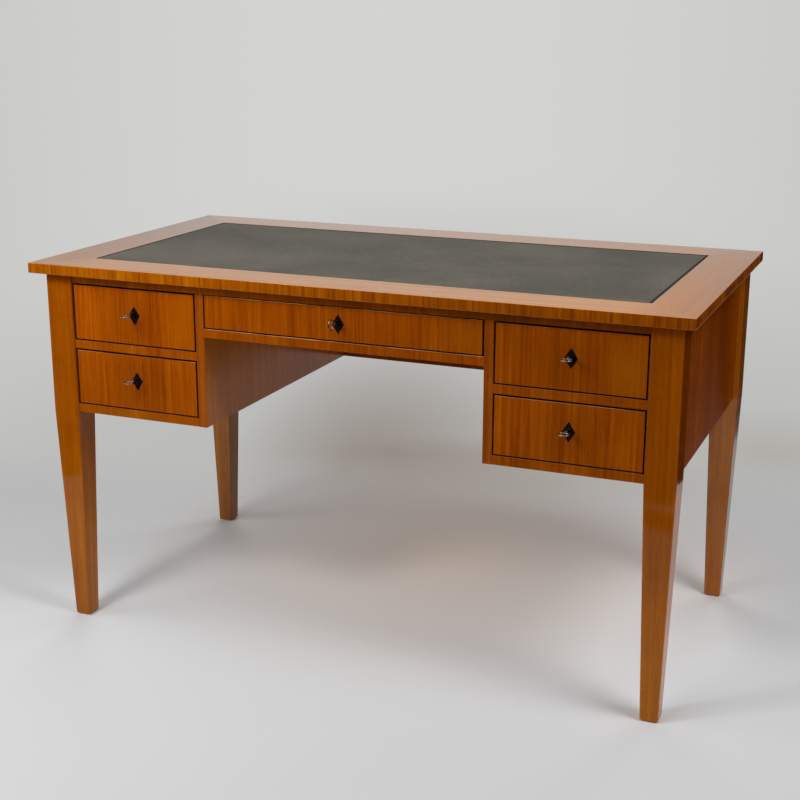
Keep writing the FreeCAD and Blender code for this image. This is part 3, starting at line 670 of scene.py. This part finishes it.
def dress_drawers():
    side = plain_wood("drawer_side_wood", "y", offset=(0, 3.3, 0))
    back = plain_wood("drawer_back_wood", "x", offset=(4.4, 0, 0))
    bottom = plain_wood("drawer_bottom_wood", "x", tone=1.05, offset=(1.2, 6.0, 0))
    inlay, brass, steel = black_inlay(), metal("dull_brass", *BRASS), metal("bolt_steel", *STEEL)
    for drawer in DRAWERS:
        tone = FRONT_TONES[drawer]
        dress(cherry(drawer + "_front_cherry", "x", veneer=FRONT_VENEER, stripes=0.62,
                     tone=(tone, FRONT_GREEN * tone, tone), drift=FRONT_DRIFTS.get(drawer),
                     fineness=FRONT_FINENESS[drawer], contrast=1.2, glow=FRONT_PAINTED_LIGHTS[drawer],
                     dark_veneer_and_shadow=FRONT_DARK_VENEER_AND_KEY_SHADOWS.get(drawer), rub_and_highlight=(FRONT_RUB_AND_HIGHLIGHT[drawer], FRONT_RUB_AND_HIGHLIGHT[drawer]),
                     gap_shade=True),
              drawer + "_drawer_front")
        dress(side, drawer + "_drawer_sides")
        dress(back, drawer + "_drawer_back")
        dress(bottom, drawer + "_drawer_bottom")
        dress(inlay, drawer + "_escutcheon")
        dress(brass, drawer + "_lock_case")
        dress(steel, drawer + "_lock_bolt")


# Modelling
SMOOTH_ANGLE = math.radians(35)
HAIR = MM / 100
# A face counts as facing along an axis when its normal has this share of it
SQUARELY = 0.9


def deselect():
    bpy.ops.object.select_all(action="DESELECT")


def apply_transform():
    bpy.ops.object.transform_apply(location=True, rotation=True, scale=True)


def named_piece(name, finish):
    """The piece just modelled, with its place in its mesh, its name and finish."""
    piece = bpy.context.object
    apply_transform()
    piece.name = name
    piece.data.name = name
    piece.data.materials.clear()
    piece.data.materials.append(finish.material)
    return piece


def copied(pattern):
    deselect()
    pattern.select_set(True)
    bpy.context.view_layer.objects.active = pattern
    bpy.ops.object.duplicate()
    return bpy.context.object


def joined(parts):
    """Joins parts into the last of them, with smooth rounds and sharp edges."""
    deselect()
    for part in parts:
        part.select_set(True)
    bpy.context.view_layer.objects.active = parts[-1]
    bpy.ops.object.join()
    bpy.ops.object.shade_smooth_by_angle(angle=SMOOTH_ANGLE)
    return bpy.context.object


def apply_modifier(piece, kind, **settings):
    modifier = piece.modifiers.new(kind.lower(), kind)
    for name, value in settings.items():
        setattr(modifier, name, value)
    bpy.ops.object.modifier_apply(modifier=modifier.name)


def pick(piece, wanted, kind="verts"):
    """Selects the vertices, edges or faces of a piece in edit mode that a test wants."""
    bpy.ops.mesh.select_all(action="DESELECT")
    mesh = bmesh.from_edit_mesh(piece.data)
    for element in getattr(mesh, kind):
        element.select_set(bool(wanted(element)))
    mesh.select_flush_mode()
    bmesh.update_edit_mesh(piece.data)


def extrude(x, y, z):
    bpy.ops.mesh.extrude_region_move(TRANSFORM_OT_translate={"value": (x, y, z)})


def outward_normals():
    bpy.ops.mesh.select_all(action="SELECT")
    bpy.ops.mesh.normals_make_consistent(inside=False)


# Leather writing surface
LEATHER_ROLL = 3.0 * MM
LEATHER_DROP = 0.35 * MM
LEATHER_SMOOTH_ANGLE = math.radians(40)
HIDE_CLOUD = 45.0 * MM
HIDE_UNEVEN = 0.25 * MM
LEATHER_CELLS = (150, 70)


def model_leather(finish):
    """A laid hide, a little uneven, whose rim rolls down into the recess."""
    low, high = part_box("leather_inlay")
    size, middle = high - low, (high + low) / 2
    flat = (size.x - 2 * LEATHER_ROLL, size.y - 2 * LEATHER_ROLL)
    deselect()
    bpy.ops.mesh.primitive_grid_add(x_subdivisions=LEATHER_CELLS[0], y_subdivisions=LEATHER_CELLS[1], size=1,
                                    location=(middle.x, middle.y, high.z - HIDE_UNEVEN / 2))
    hide = bpy.context.object
    hide.scale = (*flat, 1)
    apply_transform()
    cloud = bpy.data.textures.new("hide_cloud", "CLOUDS")
    cloud.noise_scale = HIDE_CLOUD
    apply_modifier(hide, "DISPLACE", texture=cloud, strength=HIDE_UNEVEN, mid_level=0.5)
    bpy.ops.object.mode_set(mode="EDIT")
    pick(hide, lambda edge: edge.is_boundary, "edges")
    extrude(0, 0, -LEATHER_DROP)
    bpy.ops.transform.resize(value=(size.x / flat[0], size.y / flat[1], 1), center_override=middle)
    bpy.ops.object.mode_set(mode="OBJECT")
    apply_modifier(hide, "SOLIDIFY", thickness=size.z - HIDE_UNEVEN - LEATHER_DROP, offset=-1)
    bpy.ops.object.shade_smooth_by_angle(angle=LEATHER_SMOOTH_ANGLE)
    piece = named_piece("leather_writing_surface", finish)
    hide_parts("leather_inlay")
    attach(piece, "carcass")


# Keys: distances along the stem are from the drawer's face, and negative in front of it
BOW_REACH = 31.0 * MM
BOW_RADIUS = 8.0 * MM
BOW_STRAIGHT = 3.5 * MM
BOW_WIRE = 1.2 * MM
BOW_SIDES = 72
WIRE_SIDES = 18
STEM_RADIUS = 2.5 * MM
PIPE_WALL = 1.2 * MM
PIPE_DEPTH = 6.0 * MM
STEM_SIDES = 28
# Distance in front of the face and radius, in millimetres, from the bow to the collar
STEM_TURNING = ((23.6, 1.5), (22.0, 2.1), (20.4, 2.3), (19.7, 2.7), (19.2, 3.1), (18.4, 3.3), (17.2, 3.3),
                (16.4, 3.1), (15.9, 2.7), (15.3, 2.2), (11.0, 2.15), (7.5, 2.4), (4.4, 2.5), (3.75, 2.9),
                (3.55, 3.7), (3.2, 4.0), (1.75, 4.0), (1.4, 3.8), (1.2, 2.5))
# The bit: a flat blade with a ward cut out of the middle third of its end
BIT_REACH = 9.5 * MM
BIT_THICKNESS = 2.4 * MM
BIT_LENGTH = 2.9 * MM
WARD_HALF = BIT_LENGTH / 6
WARD_DEPTH = 1.6 * MM


def model_bow():
    """A ring of round wire drawn out to a racetrack, lying flat in front of the face."""
    deselect()
    bpy.ops.mesh.primitive_torus_add(major_radius=BOW_RADIUS, minor_radius=BOW_WIRE, major_segments=BOW_SIDES,
                                     minor_segments=WIRE_SIDES, location=(0, -BOW_REACH, 0))
    bow = bpy.context.object
    apply_transform()
    bpy.ops.object.mode_set(mode="EDIT")
    for side in (-1, 1):
        pick(bow, lambda vertex: vertex.co.x * side > BOW_WIRE / 10)
        bpy.ops.transform.translate(value=(side * BOW_STRAIGHT / 2, 0, 0))
    bpy.ops.object.mode_set(mode="OBJECT")
    return bow


def model_stem(inner_end):
    """A turned stem with a knop at the bow, a collar at the face and a hollow end."""
    turning = [(-reach * MM, radius * MM) for reach, radius in STEM_TURNING] + [(inner_end, STEM_RADIUS)]
    start, radius = turning[0]
    deselect()
    bpy.ops.mesh.primitive_circle_add(vertices=STEM_SIDES, radius=radius, fill_type="NGON",
                                      location=(0, start, 0), rotation=(math.pi / 2, 0, 0))
    stem = bpy.context.object
    apply_transform()
    bpy.ops.object.mode_set(mode="EDIT")
    bpy.ops.mesh.select_all(action="SELECT")
    for (y0, radius0), (y1, radius1) in zip(turning, turning[1:]):
        extrude(0, y1 - y0, 0)
        swell = radius1 / radius0
        bpy.ops.transform.resize(value=(swell, 1, swell), center_override=(0, y1, 0))
    bpy.ops.mesh.inset(thickness=PIPE_WALL)
    extrude(0, -PIPE_DEPTH, 0)
    outward_normals()
    bpy.ops.object.mode_set(mode="OBJECT")
    return stem


def model_bit(inner_end):
    deselect()
    middle = inner_end - BIT_LENGTH / 2
    bpy.ops.mesh.primitive_cube_add(size=1, location=(-BIT_REACH / 2, middle, 0))
    bit = bpy.context.object
    bit.scale = (BIT_REACH, BIT_LENGTH, BIT_THICKNESS)
    apply_transform()
    bpy.ops.object.mode_set(mode="EDIT")
    for cut in (middle - WARD_HALF, middle + WARD_HALF):
        bpy.ops.mesh.select_all(action="SELECT")
        bpy.ops.mesh.bisect(plane_co=(0, cut, 0), plane_no=(0, 1, 0))
    pick(bit, lambda face: face.normal.x < -SQUARELY
         and abs(face.calc_center_median().y - middle) < WARD_HALF, "faces")
    extrude(WARD_DEPTH, 0, 0)
    outward_normals()
    bpy.ops.object.mode_set(mode="OBJECT")
    return bit


def model_keys(finish):
    """One key for each lock. The bow lies flat, and stands upright on the centre drawer."""
    axis = Vector(joints["left_upper_key_turn"]["pos_m"])
    inner_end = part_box("left_upper_key")[1].y - axis.y
    pattern = joined([model_bow(), model_bit(inner_end), model_stem(inner_end)])
    for drawer in DRAWERS:
        key = copied(pattern)
        key.location = joints[drawer + "_key_turn"]["pos_m"]
        key.rotation_euler = (0, -math.pi / 2 if drawer == "centre" else 0, 0)
        key = named_piece(drawer + "_turned_key", finish)
        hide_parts(drawer + "_key")
        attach(key, drawer + "_key")
    bpy.data.objects.remove(pattern)


# Metal linings of the keyholes
LINING_RADIUS = 3.35 * MM
LINING_WIDTH = 0.45 * MM
LINING_THICKNESS = 0.3 * MM
LINING_SIDES = 32
SLOT_HALF = 2.1 * MM
SLOT_DROP = 6.9 * MM


def model_linings(finish):
    """A thin rim round each keyhole, on the face of its diamond."""
    for drawer in DRAWERS:
        axis = Vector(joints[drawer + "_key_turn"]["pos_m"])
        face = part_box(drawer + "_escutcheon")[0].y
        deselect()
        bpy.ops.mesh.primitive_circle_add(vertices=LINING_SIDES, radius=LINING_RADIUS, fill_type="NGON",
                                          location=(axis.x, face, axis.z), rotation=(math.pi / 2, 0, 0))
        rim = bpy.context.object
        apply_transform()
        bpy.ops.object.mode_set(mode="EDIT")
        pick(rim, lambda vertex: vertex.co.z < axis.z and abs(vertex.co.x - axis.x) < SLOT_HALF)
        bpy.ops.transform.translate(value=(0, 0, -SLOT_DROP))
        bpy.ops.mesh.select_all(action="SELECT")
        bpy.ops.mesh.inset(thickness=LINING_WIDTH)
        bpy.ops.mesh.delete(type="FACE")
        bpy.ops.object.mode_set(mode="OBJECT")
        apply_modifier(rim, "SOLIDIFY", thickness=LINING_THICKNESS, offset=1)
        bpy.ops.object.mode_set(mode="EDIT")
        outward_normals()
        bpy.ops.object.mode_set(mode="OBJECT")
        bpy.ops.object.shade_smooth_by_angle(angle=SMOOTH_ANGLE)
        rim = named_piece(drawer + "_keyhole_lining", finish)
        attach(rim, drawer + "_drawer")


# Slotted screws in the corners of the lock cases
SCREW_RADIUS = 2.4 * MM
SCREW_SIDES = 20
SCREW_HEIGHT = 0.5 * MM
SCREW_ROUND = SCREW_HEIGHT / 4
SCREW_SLOT_HALF = 0.35 * MM
SCREW_SLOT_DEPTH = 0.6 * SCREW_HEIGHT
SCREW_INSET = 5.0 * MM
SCREW_TURNS = (0.4, 1.3, 2.2, 0.9)


def model_screw():
    """A slotted screw head that faces up."""
    deselect()
    bpy.ops.mesh.primitive_cylinder_add(vertices=SCREW_SIDES, radius=SCREW_RADIUS, depth=SCREW_HEIGHT)
    screw = bpy.context.object
    bpy.ops.object.mode_set(mode="EDIT")
    top = SCREW_HEIGHT / 2
    pick(screw, lambda edge: all(vertex.co.z > top - HAIR for vertex in edge.verts), "edges")
    bpy.ops.mesh.bevel(offset=SCREW_ROUND, segments=2)
    for cut in (-SCREW_SLOT_HALF, SCREW_SLOT_HALF):
        bpy.ops.mesh.select_all(action="SELECT")
        bpy.ops.mesh.bisect(plane_co=(cut, 0, 0), plane_no=(1, 0, 0))
    pick(screw, lambda face: face.normal.z > SQUARELY
         and abs(face.calc_center_median().x) < SCREW_SLOT_HALF / 2, "faces")
    extrude(0, 0, -SCREW_SLOT_DEPTH)
    outward_normals()
    bpy.ops.object.mode_set(mode="OBJECT")
    return screw


def model_lock_screws(finish):
    """Four screw heads on each lock case, facing the back of the drawer."""
    pattern = model_screw()
    for drawer in DRAWERS:
        low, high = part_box(drawer + "_lock_case")
        corners = [(x, z) for x in (low.x + SCREW_INSET, high.x - SCREW_INSET)
                   for z in (low.z + SCREW_INSET, high.z - SCREW_INSET)]
        heads = []
        for (x, z), turn in zip(corners, SCREW_TURNS):
            head = copied(pattern)
            head.rotation_euler = (-math.pi / 2, turn, 0)
            head.location = (x, high.y + SCREW_HEIGHT / 2, z)
            apply_transform()
            heads.append(head)
        joined(heads)
        screws = named_piece(drawer + "_lock_screws", finish)
        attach(screws, drawer + "_drawer")
    bpy.data.objects.remove(pattern)


# Studio
FLOOR_SIZE = 160.0
PAPER_GREY = (0.74, 0.752, 0.762, 1)
# Painted light: light bounced from the wood warms the floor under the desk
PAINTED_WARM_BOUNCE = ((0.0, 0.34, 0.0), (0.8, 0.75, 1.0), 1.0)
WARM_BOUNCE_TINT = (1.05, 0.90, 0.79, 1)
# The background begins behind the desk, at these depths along the camera's view.
# It begins all round at these distances from the desk, for views from other sides.
FAR_SPAN = (0.55, 1.05)
ROUND_SPAN = (1.7, 3.2)
# The desk's painted shade behind it is an oval, narrow across the view, that reaches farther to the right.
# Its centre is given across the camera's view and along it, and its tones by distance from there.
FAR_CENTRE = (-0.10, 0.90)
FAR_NARROW = 3.0
FAR_LEAN = 0.5
FAR_REACH = 8.0
FAR_TONES = ((0.03, (0.31, 0.275, 0.25)), (0.10, (0.38, 0.36, 0.34)), (0.18, (0.48, 0.48, 0.47)),
             (0.35, (0.51, 0.51, 0.50)), (0.55, (0.58, 0.58, 0.57)), (0.75, (0.615, 0.615, 0.605)),
             (1.0, (0.622, 0.622, 0.613)))
# Darker patches in that shade, behind the right-hand drawers and behind the right side
FAR_PATCHES = ((((0.06, 0.87, 0.0), (0.65, 0.4, 1.0), 1.0), (0.70, 0.62, 0.52, 1)),
               (((0.58, 1.35, 0.0), (0.45, 0.55, 1.0), 1.0), (0.87, 0.85, 0.80, 1)))
# The background is lighter in the middle of the camera's view than at its sides, which lie at this
# slope. Closer to the camera than these depths, and behind it, it has the tone of the sides.
FAR_SIDES = (1.05, 0.95)
FAR_VIEW = 0.29
NEAR_SPAN = (1.2, 1.0)


def background_tone(paper, depth, sideways):
    """The colour of the background on the floor, by its depth and its place across the camera's view."""
    camera_depth = CAMERA_SIGHT[0] * CAMERA_PLACE[0] + CAMERA_SIGHT[1] * CAMERA_PLACE[1]
    camera_side = CAMERA_ACROSS[0] * CAMERA_PLACE[0] + CAMERA_ACROSS[1] * CAMERA_PLACE[1]
    ahead = paper.larger(paper.maths("SUBTRACT", depth, camera_depth), NEAR_SPAN[1])
    view = paper.maths("DIVIDE", paper.maths("SUBTRACT", sideways, camera_side), ahead)
    view = paper.larger(paper.product(view, view), paper.span(ahead, *NEAR_SPAN, 0.0, FAR_VIEW ** 2))
    beside = paper.maths("SUBTRACT", sideways, FAR_CENTRE[0])
    beyond = paper.maths("SUBTRACT", depth, FAR_CENTRE[1])
    oval = paper.add("CombineXYZ", {"X": paper.product(beside, FAR_NARROW), "Y": beyond}).outputs[0]
    distance = paper.weighted((paper.length(oval), 1.0), (beside, -FAR_LEAN))
    tone = paper.ramp(paper.span(distance, 0.0, FAR_REACH), FAR_TONES)
    tone = paper.shade(tone, paper.span(view, 0.0, FAR_VIEW ** 2, *FAR_SIDES))
    for patch, tint in FAR_PATCHES:
        tone = paper.blend(paper.patch(*patch), tone, tint, "MULTIPLY")
    return tone


def paper_floor():
    """A pale paper floor that turns into a background behind the desk, with the desk's shade painted on it.
    """
    paper = Finish("paper_floor", Specular_IOR_Level=0.0, Roughness=0.9)
    warm_grey = [tone * tint for tone, tint in zip(PAPER_GREY, WARM_BOUNCE_TINT)]
    paper.set("Base Color", paper.blend(paper.patch(*PAINTED_WARM_BOUNCE), PAPER_GREY, warm_grey))
    depth = paper.weighted((paper.along("X"), CAMERA_SIGHT[0]), (paper.along("Y"), CAMERA_SIGHT[1]))
    sideways = paper.weighted((paper.along("X"), CAMERA_ACROSS[0]), (paper.along("Y"), CAMERA_ACROSS[1]))
    glow = paper.add("Emission", {"Color": background_tone(paper, depth, sideways)}).outputs[0]
    path = paper.add("LightPath", {}).outputs
    seen = paper.larger(path["Is Camera Ray"], path["Is Glossy Ray"])
    behind = paper.product(paper.span(depth, *FAR_SPAN), seen)
    around = paper.product(paper.span(paper.length(paper.place()), *ROUND_SPAN), path["Is Camera Ray"])
    share = paper.larger(behind, around)
    mixed = paper.add("MixShader", {0: share, 1: paper.shader.outputs[0], 2: glow}).outputs[0]
    paper.feed(paper.tree.nodes["Material Output"].inputs["Surface"], mixed)
    deselect()
    bpy.ops.mesh.primitive_plane_add(size=FLOOR_SIZE)
    floor = bpy.context.object
    floor.name = "paper_floor"
    floor.data.materials.append(paper.material)


# Dark cards that shape the reflections, standing or lying just over the floor: place, size and turn
CARD_HEIGHT = 2 * MM
CARDS = (
    ("right_card", (0.92, 4.2, 1.0), (2.0, 5.9), (0.0, math.pi / 2, 0.0)),
    ("right_floor_card", (1.9, 4.075, CARD_HEIGHT), (2.24, 6.15), (0.0, 0.0, 0.0)),
    ("front_floor_card", (-0.47, -5.225, CARD_HEIGHT), (12.0, 8.0), (0.0, 0.0, -0.1175)),
    ("left_near_card", (-1.160, -1.099, CARD_HEIGHT), (0.5, 0.3), (0.0, 0.0, -0.6)),
    ("right_near_card", (0.4425, -1.200, CARD_HEIGHT), (0.4, 0.101), (0.0, 0.0, 0.25)),
)


def dark_card(name, place, size, turn):
    """A dark card, which only reflections see."""
    black = Finish(name, Roughness=1.0, Specular_IOR_Level=0.0, Base_Color=(0, 0, 0, 1))
    deselect()
    bpy.ops.mesh.primitive_plane_add(size=1, location=place, rotation=turn)
    card = bpy.context.object
    card.scale = (*size, 1)
    card.name = name
    card.data.materials.append(black.material)
    card.visible_camera = False
    card.visible_diffuse = False
    card.visible_shadow = False


# The air as reflections see it: bright at the back, dim at the right, brightest low down and in the
# middle, with a light overhead. Each is a range along one way and the strengths at its ends. That of
# the middle goes by the square of the distance from its place.
AIR_BACK = (-0.5, 0.75, 0.15, 0.66)
AIR_RIGHT = (0.1, 0.9, 1.0, 0.5)
AIR_LOW = (0.147, 0.169, 1.54, 0.80)
AIR_OVERHEAD = (0.6, 0.9, 0.0, 1.0)
AIR_MIDDLE = (0.0, 0.035, 1.08, 0.92)
AIR_MIDDLE_X = -0.38
AIR_WHITE = (1, 1, 0.99, 1)


def studio_air():
    """The studio as reflections see it, bright behind the desk, and the plain background above the floor."""
    world = bpy.data.worlds.new("studio_air")
    world.use_nodes = True
    bpy.context.scene.world = world
    air = Nodes(world.node_tree)
    direction = air.add("TexCoord", {}).outputs["Generated"]
    way = air.add("SeparateXYZ", {0: direction}).outputs
    off = air.maths("SUBTRACT", way["X"], AIR_MIDDLE_X)
    level = air.product(air.span(way["Y"], *AIR_BACK), air.span(way["X"], *AIR_RIGHT))
    level = air.product(level, air.span(air.product(off, off), *AIR_MIDDLE))
    level = air.product(level, air.span(way["Z"], *AIR_LOW))
    level = air.maths("ADD", level, air.span(way["Z"], *AIR_OVERHEAD))
    path = air.add("LightPath", {}).outputs
    mirrored = air.tree.nodes["Background"]
    air.feed(mirrored.inputs["Color"], AIR_WHITE)
    air.feed(mirrored.inputs["Strength"], air.product(level, path["Is Glossy Ray"]))
    ahead = air.larger(air.likeness(direction, (*CAMERA_SIGHT, 0)), MM)
    view = air.maths("DIVIDE", air.likeness(direction, (*CAMERA_ACROSS, 0)), ahead)
    falloff = air.span(air.product(view, view), 0.0, FAR_VIEW ** 2, *FAR_SIDES)
    wall = air.add("Background", {"Color": (*FAR_TONES[-1][1], 1), "Strength": falloff}).outputs[0]
    seen = air.add("MixShader", {0: path["Is Camera Ray"], 1: mirrored.outputs[0], 2: wall}).outputs[0]
    air.feed(air.tree.nodes["World Output"].inputs["Surface"], seen)


# Soft lamps: place, width, power, and whether reflections show them
LAMPS = (
    ("near_left_lamp", (-0.66, -1.33, 1.48), 0.33, 8.5, True),
    ("left_high_lamp", (-0.84, -2.47, 2.27), 1.66, 25.0, True),
    ("left_side_lamp", (-2.09, -1.17, 1.43), 1.78, 15.0, True),
    ("right_lamp", (1.61, -0.59, 2.15), 0.91, 22.2, True),
    ("right_side_lamp", (2.53, -0.34, 1.43), 1.81, 8.2, True),
    ("left_back_lamp", (-1.49, 2.60, 1.50), 2.47, 39.3, False),
    ("right_back_lamp", (1.06, 3.06, 1.36), 2.11, 27.6, False),
)
LAMP_AIM = (0.0, 0.0, 0.4)


def soft_lamp(name, place, width, power, mirrored):
    lamp = bpy.data.lights.new(name, "AREA")
    lamp.shape = "DISK"
    lamp.size = width
    lamp.energy = power
    stand = bpy.data.objects.new(name, lamp)
    bpy.context.scene.collection.objects.link(stand)
    stand.location = place
    stand.rotation_euler = (Vector(LAMP_AIM) - Vector(place)).to_track_quat("-Z", "Y").to_euler()
    stand.visible_glossy = mirrored


def photo_camera():
    data = bpy.data.cameras.new("camera")
    data.sensor_width = SENSOR_WIDTH
    data.lens = CAMERA_LENS
    data.clip_end = FLOOR_SIZE * 2
    camera = bpy.data.objects.new("camera", data)
    bpy.context.scene.collection.objects.link(camera)
    turn = (Matrix.Rotation(CAMERA_YAW, 4, "Z") @ Matrix.Rotation(math.pi / 2 + CAMERA_PITCH, 4, "X")
            @ Matrix.Rotation(CAMERA_ROLL, 4, "Z"))
    camera.matrix_world = Matrix.Translation(CAMERA_PLACE) @ turn
    bpy.context.scene.camera = camera


dress_case()
dress_drawers()
model_leather(grained_leather())
model_keys(metal("worn_nickel", *NICKEL, shade_towards_back=KEY_DARKENING))
model_linings(metal("lining_iron", *IRON))
model_lock_screws(metal("dull_brass", *BRASS))
paper_floor()
for card in CARDS:
    dark_card(*card)
studio_air()
for lamp in LAMPS:
    soft_lamp(*lamp)
photo_camera()
bpy.context.scene.view_settings.view_transform = "Standard"
